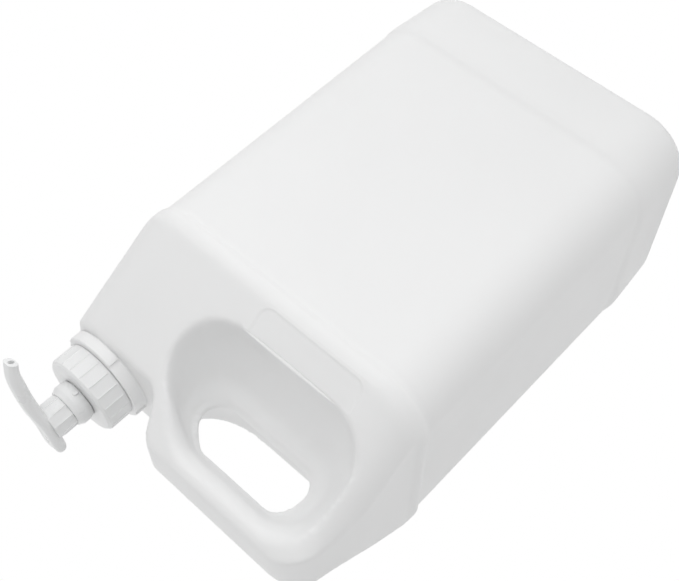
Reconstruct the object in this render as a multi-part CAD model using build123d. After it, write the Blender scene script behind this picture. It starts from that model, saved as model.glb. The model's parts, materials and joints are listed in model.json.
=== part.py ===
from build123d import *
import math
import os

# Frame: +Z up, -Y the front, handle towards -X, pump towards +X.
# The origin is the middle of the standing face. All lengths in millimetres.

# Bottle: overall form
width = 184.0
depth = 139.6
shoulder_z = 222.0
slope_rise = 76.3
handle_top_half = 11.7
corner_radius = 33.0
panel_corner_radius = 27.5
foot_corner_radius = 28.0
wall = 1.5

# Bottle: base band, main panel and shoulder band
base_taper = 4.1
base_edge_radius = 7.0
band_inset = 0.9
band_straight_z = 38.0
band_top_z = 42.5
panel_recess = 2.6
panel_step = 2.2
lip_z = 215.0
foot_rim = 17.0
foot_recess = 3.0
foot_recess_draft = 4.0

# Bottle: gable above the shoulder
shoulder_radius = 10.0
top_edge_radius = 6.0
corner_taper = 0.165
left_corner_radius = 31.0
end_wall_inset = 1.9
end_wall_top_inset = 8.1
end_wall_radius = 40.0
handle_end_radius = 20.0
platform_edge_radius = 7.0
block_top_radius = 11.0
block_foot_radius = 10.0

# Bottle: dish beside the handle, hand hole and label recess
web_half = 2.0
web_land = 6.0
dish_corner_radius = 27.0
dish_floor_radius = 13.0
dish_end_lean = 0.22
hole_corner_radius = 11.0
label_height = 30.0
label_depth = 0.4
label_radius = 6.0

# Bottle: neck
pump_setback = 27.6
ring_radius = 25.8
ring_low_radius = 24.7
ring_height = 6.3
ring_foot_radius = 27.3
ring_foot_height = 1.2
ring_step_start = -114.0
ring_step_turn = 92.0
neck_radius = 18.7
neck_bore_radius = 16.2
thread_depth = 1.4

# Screw closure
closure_gap = 1.0
closure_height = 14.2
closure_radius = 22.4
closure_deck = 2.0
closure_facets = 20
closure_facet_angle = -100.1
closure_edge = 1.2
rib_radius = 0.5
thread_clearance = 0.4

# Pump body: housing, gasket, chaplet and dip tube
turn_clearance = 0.2
flange_thickness = 1.2
flange_radius = 18.5
gasket_thickness = 1.2
gasket_inner_radius = 13.6
bore_radius = 7.5
housing_wall = 1.7
housing_neck_radius = 10.0
housing_length = 58.0
housing_floor = 1.6
seat_length = 12.0
tube_radius = 4.0
tube_wall = 0.9
tube_foot_gap = 9.0
tube_grip = 8.0
chaplet_gap = 0.3
chaplet_height = 8.9
chaplet_radius = 11.8
chaplet_foot_radius = 10.8
chaplet_floor = 1.4
screw_bore_radius = 7.6
sleeve_bore_radius = 6.1
sleeve_clearance = 0.08

# Moving pump parts
stroke = 18.0
stem_radius = 4.3
stem_wall = 1.3
slide_clearance = 0.3
seal_clearance = 0.04
seal_height = 8.0
spring_wire_radius = 0.6
spring_radius = 5.6
spring_turns = 8
ball_radius = 2.6
ball_seat_radius = 1.9

# Head
head_angle = -72.0
nut_radius = 9.6
nut_facets = 10
nut_rib_radius = 0.45
nut_gap = 0.4
nut_height = 8.1
screw_boss_radius = 6.8
screw_boss_length = 6.0
pad_back = 17.5
pad_half_width = 7.0
pad_thickness = 6.2
pad_lift = 1.5
nozzle_reach = 46.0
nozzle_half_width = 4.1
nozzle_tip_drop = 4.0
nozzle_bore_radius = 1.6

# Places and heights that follow from the sizes above
handle_top_z = shoulder_z + slope_rise
slope = slope_rise / (depth / 2 - handle_top_half)
slope_angle = math.degrees(math.atan(slope))
slope_turn = 90 - slope_angle
end_wall_bend_z = shoulder_z + 0.41 * slope_rise
platform_z = shoulder_z + 0.721 * slope_rise
block_top_x = 0.089 * width
block_foot_x = 0.147 * width
hole_left = -0.31 * width
hole_right = 0.061 * width
hole_low = shoulder_z + 0.387 * slope_rise
hole_high = shoulder_z + 0.747 * slope_rise
dish_left = -0.44 * width
dish_right = 0.165 * width
dish_low_z = shoulder_z + 0.196 * slope_rise
dish_high_z = shoulder_z + 0.938 * slope_rise
label_left = -0.337 * width
label_right = 0.008 * width
label_low_z = shoulder_z + 0.03 * slope_rise
pump_x = width / 2 - pump_setback
ring_foot_z = platform_z + ring_foot_height
ring_top_z = ring_foot_z + ring_height
closure_low_z = ring_top_z + closure_gap
closure_top_z = closure_low_z + closure_height
deck_under_z = closure_top_z - closure_deck
flange_top_z = deck_under_z - turn_clearance
flange_low_z = flange_top_z - flange_thickness
neck_top_z = flange_low_z - gasket_thickness
chaplet_low_z = closure_top_z + chaplet_gap
chaplet_top_z = chaplet_low_z + chaplet_height
chaplet_floor_z = chaplet_low_z + 1.1
bore_floor_z = flange_low_z - housing_length
nut_low_z = chaplet_top_z + nut_gap
nut_top_z = nut_low_z + nut_height
spring_low_z = bore_floor_z + 0.2
spring_height = 2 * spring_wire_radius * spring_turns + 2.8
seal_low_z = spring_low_z + spring_height + 0.4
sleeve_low_z = seal_low_z + seal_height + stroke + 0.1


def at_pump(shape):
    """Moves a shape from the origin's axis to the pump's axis."""
    return Pos(pump_x, 0, 0) * shape


def turned(*points):
    """Solid of revolution about Z from an (r, z) outline."""
    return revolve(Plane.XZ * Polygon(*points, align=None), Axis.Z)


def gable_levels(inset):
    """Half depths and heights up the shoulder, the slope and the top edge."""
    side = depth / 2 - inset
    half_turn = math.radians(slope_turn / 2)
    low = shoulder_z - inset * math.tan(half_turn)
    radius = shoulder_radius - inset
    start_z = low - radius * math.tan(half_turn)
    levels = []
    for share in (0, 1 / 3, 2 / 3, 1):
        turn = math.radians(slope_turn * share)
        levels.append((side - radius + radius * math.cos(turn), start_z + radius * math.sin(turn)))
    for share in (0.3, 0.52, 0.72):
        z = shoulder_z + slope_rise * share
        levels.append((side - (z - low) / slope, z))
    top = handle_top_z - inset
    top_half = side - (top - low) / slope
    radius = top_edge_radius - inset
    setback = radius * math.tan(math.radians(slope_angle / 2))
    for share in (0, 1 / 3, 2 / 3, 1):
        turn = math.radians(slope_turn + slope_angle * share)
        level_half = top_half - setback + radius * math.cos(turn)
        levels.append((level_half, top - radius + radius * math.sin(turn)))
    return levels


def level_outline(z, left, right, half, left_radius, right_radius):
    """Rounded rectangle at height z with its own radii at the two ends."""
    left_radius = min(left_radius, half * 0.97)
    right_radius = min(right_radius, half * 0.97)
    corners = Polygon((left, -half), (right, -half), (right, half), (left, half), align=None)
    ends = corners.vertices().sort_by(Axis.X)
    rounded = fillet(ends[:2], left_radius)
    ends = rounded.vertices().sort_by(Axis.X)
    return Pos(0, 0, z) * fillet(ends[-2:], right_radius)


def lower_shell(inset):
    """Base band, recessed panel and shoulder lip as one stack of levels."""
    rows = (
        (inset, base_taper, foot_corner_radius),
        (band_straight_z, band_inset, corner_radius - band_inset),
        (band_top_z, band_inset, corner_radius - band_inset),
        (band_top_z + panel_step, panel_recess, panel_corner_radius),
        (lip_z - panel_step, panel_recess, panel_corner_radius),
        (lip_z, 0, corner_radius),
        (gable_levels(inset)[0][1], 0, corner_radius),
    )
    outlines = []
    for z, side, radius in rows:
        across = width - 2 * side - 2 * inset
        deep = depth - 2 * side - 2 * inset
        outlines.append(Pos(0, 0, z) * RectangleRounded(across, deep, radius - inset))
    body = loft(outlines, ruled=True)
    foot = body.edges().group_by(Axis.Z)[0]
    return fillet(foot, base_edge_radius - inset)


def gable(inset):
    """Sloping upper part, its corners tightening a little on the way up."""
    levels = gable_levels(inset)
    start_z = levels[0][1]
    outlines = []
    for half, z in levels:
        left = -width / 2 + inset
        right = width / 2 - inset
        share = min((z - start_z) / 12, 1.0)
        left_radius = corner_radius - (corner_radius - left_corner_radius) * share - inset
        right_radius = corner_radius - corner_taper * (z - start_z) - inset
        outlines.append(level_outline(z, left, right, half, left_radius, right_radius))
    return loft(outlines, ruled=True)


def side_profile(inset):
    """Front view of the upper part: handle end, handle block and platform."""
    left = -width / 2
    right = width / 2
    low = lip_z - 40
    points = (
        (left - 1, low),
        (left - 1, lip_z - 1),
        (left + end_wall_inset, lip_z + 6),
        (left + end_wall_inset, end_wall_bend_z),
        (left + end_wall_top_inset, handle_top_z),
        (block_top_x, handle_top_z),
        (block_foot_x, platform_z),
        (right, platform_z),
        (right, low),
    )
    radii = (
        None,
        None,
        None,
        end_wall_radius,
        handle_end_radius,
        block_top_radius,
        block_foot_radius,
        platform_edge_radius,
        None,
    )
    outline = Polygon(*points, align=None)
    for point, radius in zip(points, radii):
        if radius is not None:
            corner = outline.vertices().sort_by_distance((point[0], point[1], 0))[0]
            outline = fillet(corner, radius)
    if inset > 0:
        outline = offset(outline, amount=-inset)
    return outline


def trimmed_gable(inset):
    """Gable cut to the front view's outline."""
    outline = Plane.XZ * side_profile(inset)
    return gable(inset) & extrude(outline, amount=depth, both=True)


def hand_hole(grow, half_length):
    """Tunnel through the web, its pump end slanting up towards the handle."""
    inset = hole_corner_radius
    centres = (
        (hole_left + inset, hole_low + inset),
        (hole_right - inset, hole_low + inset),
        (hole_right - inset - 1.1 * dish_end_lean * (hole_high - hole_low), hole_high - inset),
        (hole_left + inset + 0.8, hole_high - inset),
    )
    outline = offset(Polygon(*centres, align=None), amount=inset + grow)
    return extrude(Plane.XZ * outline, amount=half_length, both=True)


def dish(grow):
    """Front scoop from the slope down to the web, as outlines that fan about one line."""
    pivot_z = handle_top_z + (handle_top_half - web_half) * slope
    slant = math.cos(math.radians(slope_turn))
    mouth = (dish_left, dish_right, (pivot_z - dish_high_z) / slant, (pivot_z - dish_low_z) / slant)
    floor = (hole_left - 3, hole_right + 3, pivot_z - hole_high - 2, pivot_z - hole_low + 0.5)
    # share of the turn to the web, and how far the ends, handle side and body side have come in
    rows = (
        (-0.10, -0.13, -0.80, -0.12),
        (-0.02, -0.05, -0.45, -0.02),
        (0.04, 0.03, -0.12, 0.05),
        (0.12, 0.11, 0.15, 0.13),
        (0.28, 0.25, 0.42, 0.30),
        (0.55, 0.50, 0.70, 0.60),
        (0.80, 0.76, 0.88, 0.84),
        (1.0, 1.0, 1.0, 1.0),
    )
    outlines = []
    for share, ends, handle_side, body_side in rows:
        turn = math.radians(slope_turn * (1 - share))
        outward = (0, -math.cos(turn), math.sin(turn))
        plane = Plane(origin=(0, grow - web_half, pivot_z), x_dir=(1, 0, 0), z_dir=outward)
        near = mouth[2] + (floor[2] - mouth[2]) * handle_side
        far = mouth[3] + (floor[3] - mouth[3]) * body_side
        radius = dish_corner_radius + (dish_floor_radius - dish_corner_radius) * ends
        radius = min(radius, (far - near) * 0.44)
        left = mouth[0] + (floor[0] - mouth[0]) * ends + radius
        right = mouth[1] + (floor[1] - mouth[1]) * ends - radius
        corners = (
            (left, -near - radius),
            (right - dish_end_lean * (far - near), -near - radius),
            (right, -far + radius),
            (left, -far + radius),
        )
        outline = offset(Polygon(*corners, align=None), amount=radius + grow)
        outlines.append(plane * outline)
    return loft(outlines, ruled=grow > 0)


def label_recess():
    """Shallow bare field on the slope between the shoulder and the dish."""
    turn = math.radians(slope_turn)
    outward = (0, -math.cos(turn), math.sin(turn))
    low_half = depth / 2 - (label_low_z - shoulder_z) / slope
    plane = Plane(origin=(0, -low_half, label_low_z), x_dir=(1, 0, 0), z_dir=outward)
    field = RectangleRounded(label_right - label_left, label_height, label_radius)
    field = plane * Pos((label_left + label_right) / 2, label_height / 2) * field
    return extrude(field, amount=-label_depth) + extrude(field, amount=2.0)


def foot_hollow(grow):
    """Recess under the base that leaves a standing rim."""
    rim = foot_rim - grow
    low = RectangleRounded(width - 2 * rim, depth - 2 * rim, corner_radius)
    inner = rim + foot_recess_draft
    high = RectangleRounded(width - 2 * inner, depth - 2 * inner, corner_radius - foot_recess_draft)
    return loft([Pos(0, 0, -1) * low, Pos(0, 0, foot_recess + grow) * high], ruled=True)


def neck_outer():
    """Foot cone, collar ring with its stepped side, and the neck."""
    foot = turned(
        (0, platform_z - 8),
        (ring_foot_radius - 3, platform_z - 8),
        (ring_foot_radius, platform_z - 1),
        (ring_low_radius, ring_foot_z),
        (0, ring_foot_z),
    )
    ring = Pos(0, 0, ring_foot_z) * Cylinder(
        ring_low_radius, ring_top_z - ring_foot_z, align=(Align.CENTER, Align.CENTER, Align.MIN)
    )
    high = turned(
        (0, ring_foot_z),
        (ring_radius, ring_foot_z),
        (ring_radius, ring_top_z - 0.6),
        (ring_radius - 0.6, ring_top_z),
        (0, ring_top_z),
    )
    wedge_points = [(0, 0)]
    for share in (0, 0.25, 0.5, 0.75, 1):
        angle = math.radians(ring_step_start + ring_step_turn * share)
        wedge_points.append((60 * math.cos(angle), 60 * math.sin(angle)))
    wedge = extrude(Pos(0, 0, ring_foot_z - 1) * Polygon(*wedge_points, align=None), amount=20)
    other = Rot(0, 0, 180) * wedge
    neck = Pos(0, 0, ring_foot_z) * Cylinder(
        neck_radius, neck_top_z - ring_foot_z, align=(Align.CENTER, Align.CENTER, Align.MIN)
    )
    return at_pump(foot + ring + (high & wedge) + (high & other) + neck)


def neck_bore():
    """Bore of the neck down into the bottle."""
    height = neck_top_z - platform_z + 8
    bore = Cylinder(neck_bore_radius, height + 1, align=(Align.CENTER, Align.CENTER, Align.MIN))
    return at_pump(Pos(0, 0, platform_z - 8) * bore)


def bottle():
    """Blown bottle: outer form less the same form one wall further in."""
    outer = lower_shell(0) + trimmed_gable(0)
    front = dish(0)
    rear = mirror(front, about=Plane.XZ)
    outer = outer - front - rear - hand_hole(0, depth)
    outer = outer - label_recess() - mirror(label_recess(), about=Plane.XZ)
    inner = lower_shell(wall) + trimmed_gable(wall)
    front = dish(wall)
    rear = mirror(front, about=Plane.XZ)
    inner = inner - front - rear - hand_hole(wall, depth) - foot_hollow(wall)
    pinched_web = hand_hole(web_land, web_half)
    return outer + neck_outer() - foot_hollow(0) - (inner - pinched_web) - neck_bore()


def ribs(radius, count, first_angle, low_z, height, rib_size):
    """Ring of slim upright ribs on the corners of a faceted form."""
    rib = Cylinder(rib_size, height, align=(Align.CENTER, Align.CENTER, Align.MIN))
    ring = []
    for index in range(count):
        angle = first_angle + 360 / count * index
        ring.append(Rot(0, 0, angle) * Pos(radius - rib_size * 0.5, 0, low_z) * rib)
    return ring


def closure():
    """Faceted screw closure with a rib on each corner."""
    flat = Rot(0, 0, closure_facet_angle) * RegularPolygon(closure_radius, closure_facets)
    cap = extrude(Pos(0, 0, closure_low_z) * flat, amount=closure_height)
    cap = chamfer(cap.edges().group_by(Axis.Z)[-1], closure_edge)
    rib_height = closure_height - closure_edge - 1.2
    low = closure_low_z + 0.6
    cap += ribs(closure_radius, closure_facets, closure_facet_angle, low, rib_height, rib_radius)
    inside_radius = neck_radius + thread_depth + thread_clearance
    inside_height = deck_under_z - closure_low_z
    inside = Cylinder(inside_radius, inside_height, align=(Align.CENTER, Align.CENTER, Align.MIN))
    opening = Cylinder(housing_neck_radius + 0.4, 20)
    cap = cap - Pos(0, 0, closure_low_z) * inside - Pos(0, 0, closure_top_z) * opening
    return at_pump(cap)


def gasket():
    """Flat ring between the neck and the housing's flange."""
    return at_pump(
        turned(
            (gasket_inner_radius, neck_top_z),
            (neck_radius, neck_top_z),
            (neck_radius, flange_low_z),
            (gasket_inner_radius, flange_low_z),
        )
    )


def pump_housing():
    """Cylinder with its flange, upper collar, ball seat and dip tube socket."""
    outside = bore_radius + housing_wall
    seat_z = bore_floor_z - housing_floor
    socket_radius = tube_radius + 1.5
    foot_z = bore_floor_z - seat_length
    pocket_z = bore_floor_z - ball_radius * 1.6
    return at_pump(
        turned(
            (bore_radius, bore_floor_z),
            (bore_radius, chaplet_floor_z),
            (housing_neck_radius, chaplet_floor_z),
            (housing_neck_radius, flange_top_z),
            (flange_radius, flange_top_z),
            (flange_radius, flange_low_z),
            (outside, flange_low_z),
            (outside, seat_z + 1),
            (socket_radius, seat_z - 3),
            (socket_radius, foot_z),
            (tube_radius, foot_z),
            (tube_radius, foot_z + tube_grip),
            (ball_seat_radius, foot_z + tube_grip),
            (ball_seat_radius, pocket_z - 1),
            (ball_radius + 0.3, pocket_z + 1),
            (ball_radius + 0.3, bore_floor_z),
        )
    )


def dip_tube():
    """Straight tube from the housing's socket to just above the floor."""
    top_z = bore_floor_z - seat_length + tube_grip
    inside = tube_radius - tube_wall
    return at_pump(
        turned(
            (inside, tube_foot_gap),
            (tube_radius, tube_foot_gap),
            (tube_radius, top_z),
            (inside, top_z),
        )
    )


def inlet_ball():
    """Ball on its seat below the cylinder."""
    pocket_z = bore_floor_z - ball_radius * 1.6
    return at_pump(Pos(0, 0, pocket_z + ball_radius + 0.35) * Sphere(ball_radius))


def chaplet():
    """Domed locking collar on the housing, its sleeve the upper stop of the seal."""
    low = chaplet_low_z
    top = chaplet_top_z
    floor_top = chaplet_floor_z + chaplet_floor
    shape = turned(
        (housing_neck_radius, low),
        (chaplet_foot_radius, low),
        (chaplet_foot_radius + 0.9, low + 2.5),
        (chaplet_radius, low + 5.6),
        (chaplet_radius, top - 2.6),
        (chaplet_radius - 1.4, top),
        (screw_bore_radius, top),
        (screw_bore_radius, floor_top),
        (stem_radius + slide_clearance, floor_top),
        (stem_radius + slide_clearance, chaplet_floor_z),
        (sleeve_bore_radius, chaplet_floor_z),
        (sleeve_bore_radius, sleeve_low_z),
        (bore_radius - sleeve_clearance, sleeve_low_z),
        (bore_radius - sleeve_clearance, chaplet_floor_z),
        (housing_neck_radius, chaplet_floor_z),
    )
    return at_pump(shape)


def spring():
    """Return spring under the seal, pressed down as the pump is locked."""
    pitch = (spring_height - 2 * spring_wire_radius) / spring_turns
    helix = Helix(pitch, pitch * spring_turns, spring_radius)
    start = helix @ 0
    section = Plane(origin=start, z_dir=helix % 0) * RegularPolygon(spring_wire_radius, 6)
    coil = sweep(section, path=helix, is_frenet=True)
    return at_pump(Pos(0, 0, spring_low_z + spring_wire_radius) * coil)


def piston_seal():
    """Two-lipped seal that slides in the cylinder."""
    lip = bore_radius - seal_clearance
    waist = bore_radius - 0.8
    inside = stem_radius + seal_clearance
    low = seal_low_z
    top = seal_low_z + seal_height
    return at_pump(
        turned(
            (inside, low + 0.8),
            (waist - 0.9, low + 0.8),
            (lip - 0.5, low),
            (lip, low),
            (lip, low + 1.4),
            (waist, low + 2.4),
            (waist, top - 2.4),
            (lip, top - 1.4),
            (lip, top),
            (lip - 0.5, top),
            (waist - 0.9, top - 0.8),
            (inside, top - 0.8),
        )
    )


def stem():
    """Hollow stem from the seal up into the head."""
    inside = stem_radius - stem_wall
    return at_pump(
        turned(
            (inside, seal_low_z + 0.2),
            (stem_radius, seal_low_z + 0.2),
            (stem_radius, nut_top_z + 1.5),
            (inside, nut_top_z + 1.5),
        )
    )


def nozzle_section(along, middle_z, half_width, half_height, droop):
    """Oval section of the head, square to a nozzle that droops by so many degrees."""
    turn = math.radians(droop)
    forward = (math.cos(turn), 0, -math.sin(turn))
    plane = Plane(origin=(along, 0, middle_z), x_dir=(0, 1, 0), z_dir=forward)
    corner = min(half_width, half_height) * 0.96
    return plane * RectangleRounded(2 * half_width, 2 * half_height, corner)


def nozzle_body():
    """Level thumb pad that runs into the curved nozzle, its end cut square."""
    half = pad_thickness / 2
    rise = 0.4 * nozzle_tip_drop
    pad_z = nut_top_z + pad_lift + half
    mid_z = pad_z + rise
    pad_width = pad_half_width
    slim = nozzle_half_width
    sections = (
        nozzle_section(-pad_back, pad_z, pad_width * 0.52, half * 0.45, 0),
        nozzle_section(-pad_back * 0.95, pad_z, pad_width * 0.74, half * 0.72, 0),
        nozzle_section(-pad_back * 0.80, pad_z, pad_width * 0.95, half * 0.95, 0),
        nozzle_section(-pad_back * 0.40, pad_z, pad_width, half, 0),
        nozzle_section(nozzle_reach * 0.10, pad_z + rise * 0.1, pad_width * 0.96, half, 0),
        nozzle_section(nozzle_reach * 0.28, pad_z + rise * 0.7, slim * 1.25, half * 0.98, 0),
        nozzle_section(nozzle_reach * 0.45, mid_z, slim, half * 0.96, 0),
        nozzle_section(nozzle_reach * 0.68, mid_z - nozzle_tip_drop * 0.1, slim, half * 0.95, 8),
        nozzle_section(nozzle_reach * 0.86, mid_z - nozzle_tip_drop * 0.42, slim, half * 0.92, 20),
        nozzle_section(nozzle_reach, mid_z - nozzle_tip_drop, slim * 1.1, half * 0.88, 27),
    )
    return loft(sections)


def nozzle_duct():
    """Passage from the top of the stem along the nozzle to its mouth."""
    pad_z = nut_top_z + pad_lift + pad_thickness / 2
    mid_z = pad_z + 0.4 * nozzle_tip_drop
    tip = (nozzle_reach * 1.04, 0, mid_z - nozzle_tip_drop * 1.25)
    bend = (nozzle_reach * 0.74, 0, mid_z - 0.3)
    start = (0, 0, pad_z)
    route = FilletPolyline(start, (nozzle_reach * 0.4, 0, mid_z), bend, tip, radius=nozzle_reach * 0.4)
    return sweep(Plane(origin=route @ 0, z_dir=route % 0) * Circle(nozzle_bore_radius), path=route)


def head():
    """Actuator in one piece: nut, screw boss, thumb pad and curved nozzle."""
    base = (Align.CENTER, Align.CENTER, Align.MIN)
    nut = RegularPolygon(nut_radius, nut_facets)
    nut = extrude(Pos(0, 0, nut_low_z) * nut, amount=nut_height + pad_lift + pad_thickness * 0.3)
    nut += ribs(nut_radius, nut_facets, 0, nut_low_z, nut_height, nut_rib_radius)
    boss_low = nut_low_z - screw_boss_length
    boss = Pos(0, 0, boss_low) * Cylinder(screw_boss_radius, screw_boss_length, align=base)
    socket_top = nut_top_z + 1.5
    socket = Pos(0, 0, boss_low - 1) * Cylinder(stem_radius, socket_top - boss_low + 1, align=base)
    riser_height = pad_lift + pad_thickness / 2 - 1.5
    riser = Pos(0, 0, socket_top) * Cylinder(nozzle_bore_radius, riser_height, align=base)
    solid = nut + boss + nozzle_body() - socket - riser - nozzle_duct()
    return at_pump(Rot(0, 0, head_angle) * solid)


def write_parts():
    """Writes each piece to its own file."""
    os.makedirs("parts", exist_ok=True)
    pieces = {
        "bottle": bottle(),
        "screw_closure": closure(),
        "gasket": gasket(),
        "pump_housing": pump_housing(),
        "dip_tube": dip_tube(),
        "inlet_ball": inlet_ball(),
        "chaplet": chaplet(),
        "return_spring": spring(),
        "piston_seal": piston_seal(),
        "pump_stem": stem(),
        "pump_head": head(),
    }
    for name, piece in pieces.items():
        export_step(piece, f"parts/{name}.step")


write_parts()
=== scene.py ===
import json
import math

import bmesh
import bpy
from bpy.props import FloatProperty, FloatVectorProperty, PointerProperty
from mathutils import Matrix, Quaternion, Vector

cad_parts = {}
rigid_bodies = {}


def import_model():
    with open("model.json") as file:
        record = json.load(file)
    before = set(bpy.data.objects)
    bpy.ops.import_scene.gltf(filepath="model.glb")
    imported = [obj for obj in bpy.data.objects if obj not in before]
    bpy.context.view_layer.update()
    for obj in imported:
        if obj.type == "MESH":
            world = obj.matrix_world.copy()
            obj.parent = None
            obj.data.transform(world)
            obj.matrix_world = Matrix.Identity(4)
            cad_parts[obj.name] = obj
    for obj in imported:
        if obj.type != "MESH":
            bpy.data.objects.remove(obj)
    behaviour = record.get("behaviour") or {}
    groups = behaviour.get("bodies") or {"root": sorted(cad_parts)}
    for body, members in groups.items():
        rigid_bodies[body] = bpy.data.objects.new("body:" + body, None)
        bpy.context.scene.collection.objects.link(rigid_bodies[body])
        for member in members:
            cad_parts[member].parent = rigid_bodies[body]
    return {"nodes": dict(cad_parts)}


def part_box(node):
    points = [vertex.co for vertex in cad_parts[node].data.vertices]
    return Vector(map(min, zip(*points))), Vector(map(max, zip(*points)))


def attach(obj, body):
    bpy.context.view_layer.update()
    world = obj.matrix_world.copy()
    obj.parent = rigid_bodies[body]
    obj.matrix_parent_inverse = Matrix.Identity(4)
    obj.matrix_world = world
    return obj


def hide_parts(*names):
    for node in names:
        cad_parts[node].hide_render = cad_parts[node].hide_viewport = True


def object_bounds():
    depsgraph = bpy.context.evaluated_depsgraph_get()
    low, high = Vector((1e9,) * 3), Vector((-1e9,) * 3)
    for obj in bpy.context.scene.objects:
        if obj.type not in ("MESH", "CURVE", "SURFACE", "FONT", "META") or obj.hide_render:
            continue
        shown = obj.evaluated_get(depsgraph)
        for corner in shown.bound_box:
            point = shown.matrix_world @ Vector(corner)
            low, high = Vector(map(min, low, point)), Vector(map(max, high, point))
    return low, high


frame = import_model()
cad_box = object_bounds()

bl_info = {
    "name": "Pump dispenser bottle",
    "version": (1, 0, 0),
    "blender": (4, 5, 0),
    "location": "View3D > Sidebar > Bottle",
    "description": "Finishes the pump dispenser bottle's solids and sets its studio",
    "category": "Object",
}

# Sizes and places are in metres, and MM turns millimetres into them
MM = 0.001
closure_low, closure_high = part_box("screw_closure")
gasket_low, gasket_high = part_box("gasket")
COLLAR_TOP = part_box("chaplet")[1][2]
PUMP_X = (closure_low[0] + closure_high[0]) / 2
NECK_TOP = gasket_low[2]
NECK_RADIUS = (gasket_high[0] - gasket_low[0]) / 2
HALF_DEPTH = cad_box[1][1]

# The slope above the shoulder, and the bare field recessed in it
SHOULDER_Z = 222.0 * MM
SLOPE_TURN = math.radians(37.3)
FIELD_CENTRE = (-30.3 * MM, 17.9 * MM)
FIELD_HALF = (31.7 * MM, 15.0 * MM)
FIELD_RADIUS = 6.0 * MM

# The skin is drawn sharper this near to the field's border and to the slope, up to a top
FIELD_NEAR = 3.5 * MM
FIELD_OFF_SLOPE = 1.5 * MM
FIELD_TOP = 18.0 * MM

# Around the pump's axis the blown skin ends here, and the crisp neck starts just below its end
SKIN_TOP = 277.9 * MM
NECK_FOOT = 277.6 * MM
RING_REACH = 27.6 * MM
MOUTH_REACH = 23.0 * MM
MOUTH_DEPTH = 2.5 * MM
INSIDE_FLOOR = 4.0 * MM

# The bead on the front slope, with its width as a share of its thickness
BEAD_X = -25.2 * MM
BEAD_UP_SLOPE = 19.0 * MM
BEAD_SUNK = 0.35 * MM
BEAD_WIDTH_SHARE = 1.6

# The neck's rounding and its thread, whose crest is a share of its height
NECK_ROUND = 0.35 * MM
NECK_CORNER = math.radians(30)
THREAD_DEPTH = 1.5 * MM
THREAD_HEIGHT = 1.9 * MM
THREAD_CREST = 0.42
THREAD_STAND_OFF = 0.45 * MM
THREAD_BELOW_TOP = 1.8 * MM
THREAD_STEPS = 96

# The moulded pieces: their sharp corners, rims, nozzle and lug
MOULDED_CORNER = math.radians(28)
RIM_NEAR = 0.3 * MM
NOZZLE_MIDDLE = 25.0 * MM
NOZZLE_MIDDLE_HALF = 3.5 * MM
NOZZLE_FADE = 14.0 * MM
LUG_TURN = math.radians(-105.3)
LUG_RADIUS = 11.9 * MM
LUG_Z = 302.4 * MM
LUG_SIZE = (1.5 * MM, 1.4 * MM, 3.0 * MM)
LUG_ROUND = 0.3 * MM

# A copied solid's corners are merged this close, and a face is level when its normal passes this
MERGE_DISTANCE = 0.02 * MM
LEVEL = 0.9

# Finishes: colours, and noises in features per metre with the share of their range in use
NATURAL_COLOUR = (0.82, 0.83, 0.83)
TUBE_COLOUR = (0.84, 0.85, 0.85)
FOAM_COLOUR = (0.83, 0.83, 0.81)
STEEL_COLOUR = (0.6, 0.6, 0.61)
DRIFT_SCALE = 14
CLOUD_SCALE = 60
WAVE_SCALE = 22
GRAIN_SCALE = 2600
NOISE_LOW, NOISE_HIGH = 0.3, 0.7
GLOSS_SPREAD = 0.05
WHITE = (1, 1, 1, 1)

# The floor and the softbox
FLOOR_SIZE = 12.0
FLOOR_DROP = 0.2 * MM
FLOOR_DARK = (0.88, 0.88, 0.88)
FLOOR_LIGHT = (0.9, 0.9, 0.9)
FLOOR_DRIFT_SCALE = 3
FLOOR_GLOW = 0.146
SOFTBOX_PLACE = (0.35, -1.5, 0.3)
SOFTBOX_AIM = (0, 0, 0.12)
SOFTBOX_WIDTH = 1.6
SOFTBOX_HEIGHT = 1.2
SOFTBOX_POWER = 12.6

# Soft white lights around the object: where each lies, how narrow it is and how bright
SURROUND = (
    ((0, -1, 0.2), 0.0, 0.21),
    ((1, 0, 0.2), 0.0, 0.21),
    ((0, 1, 0.2), 0.0, 0.43),
    ((0, 0.7, 0.7), 0.0, 0.49),
    ((-0.6, -0.45, 0.66), 0.7, 0.48),
)
AMBIENT = 0.126


# Settings

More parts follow.
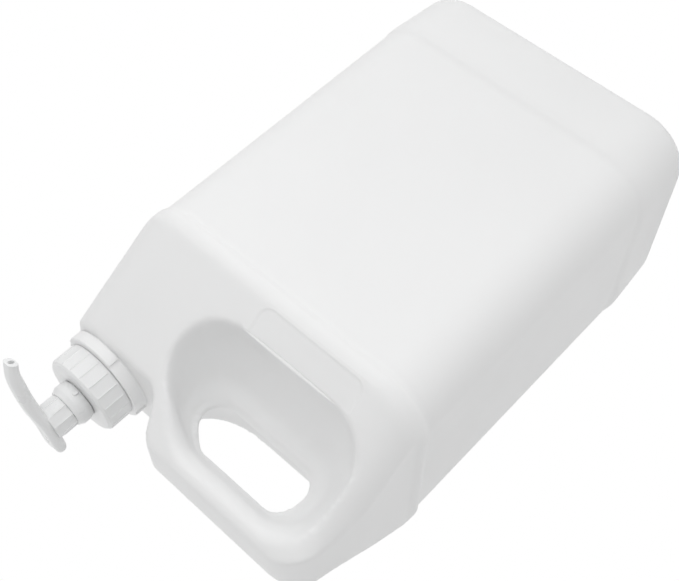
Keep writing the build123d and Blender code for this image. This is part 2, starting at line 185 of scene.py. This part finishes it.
class BottleSettings(bpy.types.PropertyGroup):
    shell_colour: FloatVectorProperty(
        name="Shell colour",
        description="Colour of the blown bottle",
        subtype="COLOR",
        size=3,
        min=0.0,
        max=1.0,
        default=(0.86, 0.862, 0.862),
    )
    shell_roughness: FloatProperty(
        name="Shell roughness",
        description="How dull the blown surface is",
        subtype="FACTOR",
        min=0.0,
        max=1.0,
        default=0.42,
    )
    skin_softness: FloatProperty(
        name="Skin softness",
        description="Size of the cells that round the blown skin's edges",
        subtype="DISTANCE",
        min=1.0 * MM,
        default=1.8 * MM,
    )
    edge_round: FloatProperty(
        name="Edge round",
        description="Rounding on the moulded edges of the closure and the pump",
        subtype="DISTANCE",
        min=0.0,
        default=0.25 * MM,
    )
    closure_drop: FloatProperty(
        name="Closure drop",
        description="How far the skirt's lower edge reaches into the gap above the ring",
        subtype="DISTANCE",
        min=0.0,
        default=0.7 * MM,
    )
    rim_rise: FloatProperty(
        name="Rim rise",
        description="How far the collar's top rim reaches into the gap below the nut",
        subtype="DISTANCE",
        min=0.0,
        default=0.3 * MM,
    )
    bead_size: FloatProperty(
        name="Bead size",
        description="Thickness of the fine bead along the dish's lower rim",
        subtype="DISTANCE",
        min=0.2 * MM,
        default=1.0 * MM,
    )
    bead_length: FloatProperty(
        name="Bead length",
        description="Length of the fine bead along the dish's lower rim",
        subtype="DISTANCE",
        min=10 * MM,
        default=58 * MM,
    )
    nozzle_fullness: FloatProperty(
        name="Nozzle fullness",
        description="How much wider the nozzle is half way along",
        min=1.0,
        default=1.16,
    )
    thread_pitch: FloatProperty(
        name="Thread pitch",
        description="Rise of the neck's thread in one turn",
        subtype="DISTANCE",
        min=1.0 * MM,
        default=4.0 * MM,
    )
    thread_turns: FloatProperty(
        name="Thread turns",
        description="Turns of the neck's thread",
        min=0.5,
        default=1.6,
    )
    pump_colour: FloatVectorProperty(
        name="Pump colour",
        description="Colour of the injection-moulded pump and closure",
        subtype="COLOR",
        size=3,
        min=0.0,
        max=1.0,
        default=(0.84, 0.845, 0.845),
    )


class StudioSettings(bpy.types.PropertyGroup):
    azimuth: FloatProperty(
        name="Azimuth",
        description="Camera's turn about the object from the front",
        subtype="ANGLE",
        default=math.radians(-24.243),
    )
    elevation: FloatProperty(
        name="Elevation",
        description="Camera's height angle above the level",
        subtype="ANGLE",
        default=math.radians(23.748),
    )
    roll: FloatProperty(
        name="Roll",
        description="Camera's turn about its own line of sight",
        subtype="ANGLE",
        default=math.radians(-131.907),
    )
    place: FloatVectorProperty(
        name="Place",
        description="Camera's place",
        subtype="TRANSLATION",
        unit="LENGTH",
        size=3,
        default=(-0.2188, -0.51272, 0.4101),
    )
    lens: FloatProperty(
        name="Lens",
        description="Focal length in millimetres on a 36 mm sensor",
        min=10.0,
        default=60.49,
    )
    surround: FloatProperty(
        name="Surround",
        description="Strength of the white surroundings",
        min=0.0,
        default=1.0,
    )


# Material building blocks

def new_material(name):
    """Node material with only a Principled shader joined to its output."""
    material = bpy.data.materials.new(name)
    material.use_nodes = True
    nodes = material.node_tree.nodes
    nodes.clear()
    output = nodes.new("ShaderNodeOutputMaterial")
    shader = nodes.new("ShaderNodeBsdfPrincipled")
    material.node_tree.links.new(shader.outputs["BSDF"], output.inputs["Surface"])
    return material, shader


def object_noise(material, scale, detail, roughness=0.5):
    """Noise on Object coordinates, its scale in features per metre."""
    nodes, links = material.node_tree.nodes, material.node_tree.links
    place = nodes.new("ShaderNodeTexCoord")
    noise = nodes.new("ShaderNodeTexNoise")
    noise.inputs["Scale"].default_value = scale
    noise.inputs["Detail"].default_value = detail
    noise.inputs["Roughness"].default_value = roughness
    links.new(place.outputs["Object"], noise.inputs["Vector"])
    return noise.outputs["Fac"]


def spread(material, noise, low, high):
    """Maps the part of a noise's range that it mostly keeps to onto low to high."""
    nodes, links = material.node_tree.nodes, material.node_tree.links
    ranged = nodes.new("ShaderNodeMapRange")
    ranged.inputs["From Min"].default_value = NOISE_LOW
    ranged.inputs["From Max"].default_value = NOISE_HIGH
    ranged.inputs["To Min"].default_value = low
    ranged.inputs["To Max"].default_value = high
    links.new(noise, ranged.inputs["Value"])
    return ranged.outputs["Result"]


def tint(material, noise, dark, light):
    """Colour that drifts between dark and light with a noise."""
    nodes, links = material.node_tree.nodes, material.node_tree.links
    mix = nodes.new("ShaderNodeMix")
    mix.data_type = "RGBA"
    mix.inputs["A"].default_value = (*dark, 1)
    mix.inputs["B"].default_value = (*light, 1)
    links.new(spread(material, noise, 0, 1), mix.inputs["Factor"])
    return mix.outputs["Result"]


def add_bump(material, shader, heights):
    """Chains bumps of (height, distance in metres, strength)."""
    nodes, links = material.node_tree.nodes, material.node_tree.links
    last = None
    for height, distance, strength in heights:
        bump = nodes.new("ShaderNodeBump")
        bump.inputs["Distance"].default_value = distance
        bump.inputs["Strength"].default_value = strength
        links.new(height, bump.inputs["Height"])
        if last is not None:
            links.new(last, bump.inputs["Normal"])
        last = bump.outputs["Normal"]
    links.new(last, shader.inputs["Normal"])


def moulded_plastic(name, colour, roughness, shade=0.03, wave=0.0, grain=0.02 * MM, sockets=None):
    """Moulded plastic: slow colour drift, uneven gloss, slow waves and a fine grain."""
    material, shader = new_material(name)
    links = material.node_tree.links
    dark = tuple(part * (1 - shade) for part in colour)
    drift = object_noise(material, DRIFT_SCALE, detail=2)
    links.new(tint(material, drift, dark, colour), shader.inputs["Base Color"])
    cloud = object_noise(material, CLOUD_SCALE, detail=4, roughness=0.6)
    gloss = spread(material, cloud, roughness - GLOSS_SPREAD, roughness + GLOSS_SPREAD)
    links.new(gloss, shader.inputs["Roughness"])
    heights = []
    if wave:
        waves = object_noise(material, WAVE_SCALE, detail=1.5, roughness=0.4)
        heights.append((waves, wave, 0.5))
    grains = object_noise(material, GRAIN_SCALE, detail=3, roughness=0.6)
    heights.append((grains, grain, 0.35))
    add_bump(material, shader, heights)
    shader.inputs["Specular IOR Level"].default_value = 0.5
    shader.inputs["IOR"].default_value = 1.5
    for socket, value in (sockets or {}).items():
        shader.inputs[socket].default_value = value
    return material


def blown_plastic(settings, wave=0.4 * MM):
    """Satin blown polyethylene that lets a little light in; the crisp pieces have no waves."""
    return moulded_plastic(
        "blown_polyethylene" if wave else "neck_polyethylene",
        tuple(settings.shell_colour),
        settings.shell_roughness,
        shade=0.015,
        wave=wave,
        grain=0.03 * MM,
        sockets={
            "Subsurface Weight": 0.15,
            "Subsurface Radius": (1.0, 1.0, 1.0),
            "Subsurface Scale": 2.0 * MM,
        },
    )


def assign(material, *names):
    """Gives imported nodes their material."""
    for name in names:
        slots = frame["nodes"][name].data.materials
        slots.clear()
        slots.append(material)


# Modelling helpers

def only(piece):
    """Leaves one object selected and active."""
    bpy.ops.object.select_all(action="DESELECT")
    piece.select_set(True)
    bpy.context.view_layer.objects.active = piece


def merged_copy(node, name):
    """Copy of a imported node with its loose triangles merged."""
    piece = bpy.data.objects.new(name, frame["nodes"][node].data.copy())
    bpy.context.collection.objects.link(piece)
    only(piece)
    bpy.ops.object.mode_set(mode="EDIT")
    bpy.ops.mesh.select_all(action="SELECT")
    bpy.ops.mesh.remove_doubles(threshold=MERGE_DISTANCE)
    bpy.ops.object.mode_set(mode="OBJECT")
    return piece


def pick(piece, kind, test):
    """Selects the faces or edges of the mesh in edit mode that pass a test."""
    bpy.ops.mesh.select_mode(type=kind)
    bpy.ops.mesh.select_all(action="DESELECT")
    form = bmesh.from_edit_mesh(piece.data)
    for part in form.faces if kind == "FACE" else form.edges:
        if test(part):
            part.select_set(True)
    form.select_flush_mode()
    bmesh.update_edit_mesh(piece.data)


def pick_open_edges():
    """Selects the edges around the holes of the mesh in edit mode."""
    bpy.ops.mesh.select_mode(type="EDGE")
    bpy.ops.mesh.select_all(action="DESELECT")
    bpy.ops.mesh.select_non_manifold()


def face_outwards():
    """Selects the whole mesh in edit mode and turns its faces outwards."""
    bpy.ops.mesh.select_all(action="SELECT")
    bpy.ops.mesh.normals_make_consistent(inside=False)


def centre(part):
    """Middle of a face or an edge."""
    return sum((vert.co for vert in part.verts), Vector()) / len(part.verts)


def from_pump(point):
    """Distance of a point from the pump's axis."""
    return math.hypot(point.x - PUMP_X, point.y)


def apply_modifier(piece, kind, **settings):
    """Adds a modifier with its settings and applies it."""
    modifier = piece.modifiers.new(kind.lower(), kind)
    for setting, value in settings.items():
        setattr(modifier, setting, value)
    only(piece)
    bpy.ops.object.modifier_apply(modifier=modifier.name)


def round_corners(piece, width, corner):
    """Rounds the edges that turn by more than the angle corner."""
    apply_modifier(
        piece, "BEVEL", width=width, segments=2, limit_method="ANGLE", angle_limit=corner
    )


def turn_about(axis, angle):
    """Turns what is selected in edit mode about an axis through the origin."""
    bpy.ops.transform.rotate(value=angle, orient_axis=axis, center_override=(0, 0, 0))


def on_slope(point):
    """How far a point lies up the front or back slope, and how far above its face."""
    inward = HALF_DEPTH - abs(point.y)
    raised = point.z - SHOULDER_Z
    along = inward * math.sin(SLOPE_TURN) + raised * math.cos(SLOPE_TURN)
    above = raised * math.sin(SLOPE_TURN) - inward * math.cos(SLOPE_TURN)
    return along, above


def near_field_edge(point):
    """Whether a point lies by the border of the bare field on a slope."""
    along, above = on_slope(point)
    if abs(above) > FIELD_OFF_SLOPE or along > FIELD_TOP or point.z < SHOULDER_Z:
        return False
    across = abs(point.x - FIELD_CENTRE[0]) - FIELD_HALF[0] + FIELD_RADIUS
    up = abs(along - FIELD_CENTRE[1]) - FIELD_HALF[1] + FIELD_RADIUS
    outside = math.hypot(max(across, 0), max(up, 0)) + min(max(across, up), 0)
    return abs(outside - FIELD_RADIUS) < FIELD_NEAR


def in_mouth(point):
    """Whether a point lies on the lid that the remesh leaves over the skin's open top."""
    return from_pump(point) < MOUTH_REACH and point.z > SKIN_TOP - MOUTH_DEPTH


def draw_sharper(piece, test, node):
    """Divides the faces that pass a test and lays them on the solid again."""
    bpy.ops.object.mode_set(mode="EDIT")
    pick(piece, "FACE", lambda face: test(centre(face)))
    bpy.ops.mesh.subdivide(number_cuts=2)
    bpy.ops.object.vertex_group_add()
    bpy.ops.object.vertex_group_assign()
    bpy.ops.object.mode_set(mode="OBJECT")
    group = piece.vertex_groups[-1].name
    apply_modifier(piece, "SHRINKWRAP", target=frame["nodes"][node], vertex_group=group)
    piece.vertex_groups.clear()


def dress(piece, body, slot, material, *nodes, angle=35):
    """Shades a piece, gives it its material and lets it ride on its body."""
    only(piece)
    bpy.ops.object.shade_smooth_by_angle(angle=math.radians(angle))
    piece.data.materials.clear()
    piece.data.materials.append(material)
    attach(piece, body)
    if nodes:
        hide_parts(*nodes)


# Pieces

class BOTTLE_OT_blow_shell(bpy.types.Operator):
    """Model the blown bottle with its softly rounded skin and its hollow inside"""

    bl_idname = "bottle.blow_shell"
    bl_label = "Bottle shell"

    def execute(self, context):
        settings = context.scene.bottle
        shell = merged_copy("bottle", "bottle_shell")
        inside = self.take_out_inside(shell, context)
        self.soften(shell, settings)
        self.join_inside(shell, inside)
        dress(shell, "bottle", "bottle_shell", blown_plastic(settings), "bottle", angle=60)
        return {"FINISHED"}

    def take_out_inside(self, shell, context):
        """Cuts the neck off and makes the hollow's wall an object of its own."""
        bpy.ops.object.mode_set(mode="EDIT")
        pick(shell, "FACE", lambda face: all(from_pump(vert.co) < RING_REACH for vert in face.verts))
        bpy.ops.mesh.bisect(plane_co=(0, 0, SKIN_TOP), plane_no=(0, 0, 1), clear_outer=True)
        pick(shell, "FACE", lambda face: centre(face).z < INSIDE_FLOOR and face.normal.z > LEVEL)
        bpy.ops.mesh.select_linked()
        bpy.ops.mesh.separate(type="SELECTED")
        bpy.ops.object.mode_set(mode="OBJECT")
        return next(piece for piece in context.selected_objects if piece != shell)

    def soften(self, shell, settings):
        """Closes the outer skin, rounds all its edges and draws the field's border sharper."""
        only(shell)
        bpy.ops.object.mode_set(mode="EDIT")
        pick_open_edges()
        bpy.ops.mesh.edge_face_add()
        bpy.ops.object.mode_set(mode="OBJECT")
        apply_modifier(shell, "REMESH", mode="VOXEL", voxel_size=settings.skin_softness)
        apply_modifier(shell, "SMOOTH", factor=0.5, iterations=2)
        draw_sharper(shell, near_field_edge, "bottle")

    def join_inside(self, shell, inside):
        """Opens the skin's top again and bridges it to the hollow's wall."""
        bpy.ops.object.mode_set(mode="EDIT")
        pick(shell, "FACE", lambda face: in_mouth(centre(face)))
        bpy.ops.mesh.delete(type="FACE")
        bpy.ops.object.mode_set(mode="OBJECT")
        inside.select_set(True)
        bpy.ops.object.join()
        bpy.ops.object.mode_set(mode="EDIT")
        pick_open_edges()
        bpy.ops.mesh.bridge_edge_loops()
        face_outwards()
        bpy.ops.object.mode_set(mode="OBJECT")


class BOTTLE_OT_lay_bead(bpy.types.Operator):
    """Model the fine bead along the lower rim of the front dish"""

    bl_idname = "bottle.lay_bead"
    bl_label = "Dish bead"

    def execute(self, context):
        settings = context.scene.bottle
        inward = BEAD_UP_SLOPE * math.sin(SLOPE_TURN) + BEAD_SUNK * math.cos(SLOPE_TURN)
        raised = BEAD_UP_SLOPE * math.cos(SLOPE_TURN) - BEAD_SUNK * math.sin(SLOPE_TURN)
        place = (BEAD_X, inward - HALF_DEPTH, SHOULDER_Z + raised)
        width = BEAD_WIDTH_SHARE * settings.bead_size
        bpy.ops.object.select_all(action="DESELECT")
        bpy.ops.mesh.primitive_uv_sphere_add(segments=16, ring_count=40, radius=0.5)
        bead = context.object
        bead.name = "dish_bead"
        bpy.ops.object.mode_set(mode="EDIT")
        turn_about("Y", math.pi / 2)
        bpy.ops.transform.resize(value=(settings.bead_length, settings.bead_size, width))
        turn_about("X", SLOPE_TURN)
        bpy.ops.transform.translate(value=place)
        bpy.ops.object.mode_set(mode="OBJECT")
        dress(bead, "bottle", "bottle_shell", blown_plastic(settings, wave=0.0))
        return {"FINISHED"}


class BOTTLE_OT_cut_neck(bpy.types.Operator):
    """Model the crisp neck with its collar ring and thread"""

    bl_idname = "bottle.cut_neck"
    bl_label = "Neck and thread"

    def execute(self, context):
        settings = context.scene.bottle
        neck = merged_copy("bottle", "bottle_neck")
        bpy.ops.object.mode_set(mode="EDIT")
        bpy.ops.mesh.select_all(action="SELECT")
        bpy.ops.mesh.bisect(
            plane_co=(0, 0, NECK_FOOT), plane_no=(0, 0, 1), clear_inner=True, use_fill=True
        )
        pick(neck, "FACE", lambda face: from_pump(centre(face)) > RING_REACH)
        bpy.ops.mesh.delete(type="FACE")
        bpy.ops.object.mode_set(mode="OBJECT")
        round_corners(neck, NECK_ROUND, NECK_CORNER)
        thread = self.thread(settings)
        material = blown_plastic(settings, wave=0.0)
        dress(neck, "bottle", "bottle_shell", material)
        dress(thread, "bottle", "bottle_shell", material)
        return {"FINISHED"}

    def thread(self, settings):
        """Helical ridge on the neck, from a small outline turned and raised."""
        bpy.ops.object.select_all(action="DESELECT")
        bpy.ops.mesh.primitive_plane_add(size=1.0, location=(0, 0, 0))
        thread = bpy.context.object
        thread.name = "neck_thread"
        bpy.ops.object.mode_set(mode="EDIT")
        turn_about("X", math.pi / 2)
        bpy.ops.transform.resize(value=(THREAD_DEPTH, 1.0, THREAD_HEIGHT))
        pick(thread, "EDGE", lambda edge: centre(edge).x > THREAD_DEPTH / 3)
        bpy.ops.transform.resize(value=(1.0, 1.0, THREAD_CREST))
        bpy.ops.mesh.select_all(action="SELECT")
        bpy.ops.transform.translate(value=(NECK_RADIUS + THREAD_STAND_OFF, 0, 0))
        bpy.ops.mesh.delete(type="ONLY_FACE")
        bpy.ops.object.mode_set(mode="OBJECT")
        rise = settings.thread_pitch * settings.thread_turns
        apply_modifier(
            thread,
            "SCREW",
            angle=2 * math.pi * settings.thread_turns,
            screw_offset=rise,
            steps=THREAD_STEPS,
            render_steps=THREAD_STEPS,
            use_merge_vertices=True,
        )
        bpy.ops.object.mode_set(mode="EDIT")
        pick_open_edges()
        bpy.ops.mesh.edge_face_add()
        face_outwards()
        bpy.ops.transform.translate(value=(PUMP_X, 0, NECK_TOP - rise - THREAD_BELOW_TOP))
        bpy.ops.object.mode_set(mode="OBJECT")
        return thread


class BOTTLE_OT_finish_pump(bpy.types.Operator):
    """Round the moulded edges of the closure and the pump, and give their parts plastics and steel"""

    bl_idname = "bottle.finish_pump"
    bl_label = "Pump and closure"

    def execute(self, context):
        settings = context.scene.bottle
        colour = tuple(settings.pump_colour)
        closure = moulded_plastic("closure_polypropylene", colour, 0.34)
        pump = moulded_plastic("pump_polypropylene", colour, 0.3)
        moulded = (
            ("screw_closure", "closure_cap", "closure", "closure_plastic", closure, self.lower_skirt),
            ("chaplet", "locking_collar", "pump_unit", "pump_plastic", pump, self.raise_rim),
            ("pump_head", "actuator_head", "actuator", "pump_plastic", pump, self.fill_nozzle),
        )
        for node, name, body, slot, material, shape in moulded:
            piece = merged_copy(node, name)
            bpy.ops.object.mode_set(mode="EDIT")
            shape(piece, settings)
            bpy.ops.object.mode_set(mode="OBJECT")
            round_corners(piece, settings.edge_round, MOULDED_CORNER)
            dress(piece, body, slot, material, node)
        self.collar_lug(pump)
        assign(pump, "pump_stem")
        self.finish_inner_parts()
        return {"FINISHED"}

    def finish_inner_parts(self):
        """Gives the housing, seal, tube, gasket, spring and ball their materials."""
        natural = moulded_plastic("natural_polypropylene", NATURAL_COLOUR, 0.38)
        assign(natural, "pump_housing", "piston_seal")
        clear = {"Transmission Weight": 0.4}
        assign(moulded_plastic("tube_polyethylene", TUBE_COLOUR, 0.35, sockets=clear), "dip_tube")
        foam = moulded_plastic("gasket_foam", FOAM_COLOUR, 0.7, shade=0.05, grain=0.08 * MM)
        assign(foam, "gasket")
        metal = {"Metallic": 1.0}
        steel = moulded_plastic("spring_steel", STEEL_COLOUR, 0.3, sockets=metal)
        assign(steel, "return_spring", "inlet_ball")

    def lower_skirt(self, piece, settings):
        """Brings the skirt's lower edge closer to the ring."""
        low = closure_low[2] + RIM_NEAR
        pick(piece, "FACE", lambda face: face.normal.z < -LEVEL and centre(face).z < low)
        bpy.ops.transform.translate(value=(0, 0, -settings.closure_drop))

    def raise_rim(self, piece, settings):
        """Brings the collar's top rim closer to the nut."""
        high = COLLAR_TOP - RIM_NEAR
        pick(piece, "FACE", lambda face: face.normal.z > LEVEL and centre(face).z > high)
        bpy.ops.transform.translate(value=(0, 0, settings.rim_rise))

    def fill_nozzle(self, piece, settings):
        """Makes the nozzle fuller half way along, fading to its ends, with its top where it was."""
        pick(
            piece,
            "EDGE",
            lambda edge: abs(from_pump(centre(edge)) - NOZZLE_MIDDLE) < NOZZLE_MIDDLE_HALF,
        )
        form = bmesh.from_edit_mesh(piece.data)
        chosen = [vert.co for vert in form.verts if vert.select]
        middle = sum(chosen, Vector()) / len(chosen)
        middle.z = max(corner.z for corner in chosen)
        share = settings.nozzle_fullness
        bpy.ops.transform.resize(
            value=(share, share, share),
            center_override=middle,
            use_proportional_edit=True,
            proportional_edit_falloff="SMOOTH",
            proportional_size=NOZZLE_FADE,
        )

    def collar_lug(self, material):
        """Small upright lug on the locking collar's front."""
        across = LUG_RADIUS * math.cos(LUG_TURN)
        place = (PUMP_X + across, LUG_RADIUS * math.sin(LUG_TURN), LUG_Z)
        bpy.ops.object.select_all(action="DESELECT")
        bpy.ops.mesh.primitive_cube_add(size=1.0)
        lug = bpy.context.object
        lug.name = "collar_lug"
        bpy.ops.object.mode_set(mode="EDIT")
        bpy.ops.transform.resize(value=LUG_SIZE)
        turn_about("Z", -(LUG_TURN + math.pi / 2))
        bpy.ops.transform.translate(value=place)
        bpy.ops.object.mode_set(mode="OBJECT")
        apply_modifier(lug, "BEVEL", width=LUG_ROUND, segments=3)
        dress(lug, "pump_unit", "pump_plastic", material)


# Studio

def white_to_camera(tree, output, lit, white):
    """Shows a white shader to the camera, and the lit one to the light that the object gets."""
    path = tree.nodes.new("ShaderNodeLightPath")
    choose = tree.nodes.new("ShaderNodeMixShader")
    tree.links.new(path.outputs["Is Camera Ray"], choose.inputs["Fac"])
    tree.links.new(lit, choose.inputs[1])
    tree.links.new(white, choose.inputs[2])
    tree.links.new(choose.outputs["Shader"], output.inputs["Surface"])


def world_light(scene, strength):
    """Surroundings made of a few broad soft lights, plain white to the camera."""
    world = bpy.data.worlds.new("studio_surround")
    scene.world = world
    world.use_nodes = True
    nodes, links = world.node_tree.nodes, world.node_tree.links
    nodes.clear()
    output = nodes.new("ShaderNodeOutputWorld")
    place = nodes.new("ShaderNodeTexCoord")
    light = None
    for direction, narrowness, brightness in SURROUND:
        towards = nodes.new("ShaderNodeVectorMath")
        towards.operation = "DOT_PRODUCT"
        towards.inputs[1].default_value = Vector(direction).normalized()
        ramp = nodes.new("ShaderNodeMapRange")
        ramp.interpolation_type = "SMOOTHSTEP"
        ramp.inputs["From Min"].default_value = narrowness
        ramp.inputs["To Max"].default_value = brightness * strength
        add = nodes.new("ShaderNodeMath")
        links.new(place.outputs["Generated"], towards.inputs[0])
        links.new(towards.outputs["Value"], ramp.inputs["Value"])
        links.new(ramp.outputs["Result"], add.inputs[0])
        if light is None:
            add.inputs[1].default_value = AMBIENT * strength
        else:
            links.new(light, add.inputs[1])
        light = add.outputs["Value"]
    surround = nodes.new("ShaderNodeBackground")
    surround.inputs["Color"].default_value = WHITE
    links.new(light, surround.inputs["Strength"])
    seen = nodes.new("ShaderNodeBackground")
    seen.inputs["Color"].default_value = WHITE
    white_to_camera(
        world.node_tree, output, surround.outputs["Background"], seen.outputs["Background"]
    )


class BOTTLE_OT_set_stage(bpy.types.Operator):
    """Set the pale floor, the soft studio light and the camera"""

    bl_idname = "bottle.set_stage"
    bl_label = "Studio"

    def execute(self, context):
        scene = context.scene
        scene.view_settings.view_transform = "Standard"
        world_light(scene, scene.studio.surround)
        self.lay_floor()
        self.set_camera(scene)
        self.set_softbox()
        return {"FINISHED"}

    def lay_floor(self):
        """Pale floor, plain white to the camera as in an overexposed studio picture."""
        bpy.ops.mesh.primitive_plane_add(size=FLOOR_SIZE, location=(0, 0, -FLOOR_DROP))
        floor = bpy.context.object
        floor.name = "studio_floor"
        material, shader = new_material("floor_paper")
        tree = material.node_tree
        drift = object_noise(material, FLOOR_DRIFT_SCALE, detail=2)
        colour = tint(material, drift, FLOOR_DARK, FLOOR_LIGHT)
        tree.links.new(colour, shader.inputs["Base Color"])
        shader.inputs["Roughness"].default_value = 0.9
        shader.inputs["Emission Color"].default_value = WHITE
        shader.inputs["Emission Strength"].default_value = FLOOR_GLOW
        output = next(node for node in tree.nodes if node.type == "OUTPUT_MATERIAL")
        white = tree.nodes.new("ShaderNodeEmission")
        white_to_camera(tree, output, shader.outputs["BSDF"], white.outputs["Emission"])
        floor.data.materials.append(material)

    def set_camera(self, scene):
        """Camera at the photograph's viewing angle."""
        studio = scene.studio
        bpy.ops.object.camera_add()
        camera = bpy.context.object
        camera.name = "photo_camera"
        turn, rise = studio.azimuth, studio.elevation
        level = math.cos(rise)
        back = Vector((math.sin(turn) * level, -math.cos(turn) * level, math.sin(rise)))
        aim = (-back).to_track_quat("-Z", "Y") @ Quaternion((0, 0, 1), studio.roll)
        camera.rotation_mode = "QUATERNION"
        camera.rotation_quaternion = aim
        camera.location = studio.place
        camera.data.lens = studio.lens
        camera.data.sensor_width = 36.0
        camera.data.clip_start = 10 * MM
        scene.camera = camera

    def set_softbox(self):
        """Broad light in front, which isn't mirrored in the plastics."""
        bpy.ops.object.light_add(type="AREA", location=SOFTBOX_PLACE)
        softbox = bpy.context.object
        softbox.name = "front_softbox"
        softbox.data.shape = "RECTANGLE"
        softbox.data.size = SOFTBOX_WIDTH
        softbox.data.size_y = SOFTBOX_HEIGHT
        softbox.data.energy = SOFTBOX_POWER
        softbox.visible_glossy = False
        aim = Vector(SOFTBOX_AIM) - softbox.location
        softbox.rotation_euler = aim.to_track_quat("-Z", "Y").to_euler()


class BOTTLE_PT_panel(bpy.types.Panel):
    """Lists the steps and their settings"""

    bl_label = "Pump dispenser bottle"
    bl_idname = "BOTTLE_PT_panel"
    bl_space_type = "VIEW_3D"
    bl_region_type = "UI"
    bl_category = "Bottle"

    def draw(self, context):
        layout = self.layout
        for step in STEPS:
            layout.operator(step.bl_idname)
        for name in BottleSettings.__annotations__:
            layout.prop(context.scene.bottle, name)
        for name in StudioSettings.__annotations__:
            layout.prop(context.scene.studio, name)


STEPS = (
    BOTTLE_OT_blow_shell,
    BOTTLE_OT_lay_bead,
    BOTTLE_OT_cut_neck,
    BOTTLE_OT_finish_pump,
    BOTTLE_OT_set_stage,
)
CLASSES = (BottleSettings, StudioSettings, *STEPS, BOTTLE_PT_panel)


def register():
    for entry in CLASSES:
        bpy.utils.register_class(entry)
    bpy.types.Scene.bottle = PointerProperty(type=BottleSettings)
    bpy.types.Scene.studio = PointerProperty(type=StudioSettings)


def unregister():
    del bpy.types.Scene.studio
    del bpy.types.Scene.bottle
    for entry in reversed(CLASSES):
        bpy.utils.unregister_class(entry)


def main():
    register()
    bpy.ops.object.select_all(action="DESELECT")
    bpy.ops.bottle.blow_shell()
    bpy.ops.bottle.lay_bead()
    bpy.ops.bottle.cut_neck()
    bpy.ops.bottle.finish_pump()
    bpy.ops.bottle.set_stage()


if __name__ == "__main__":
    main()
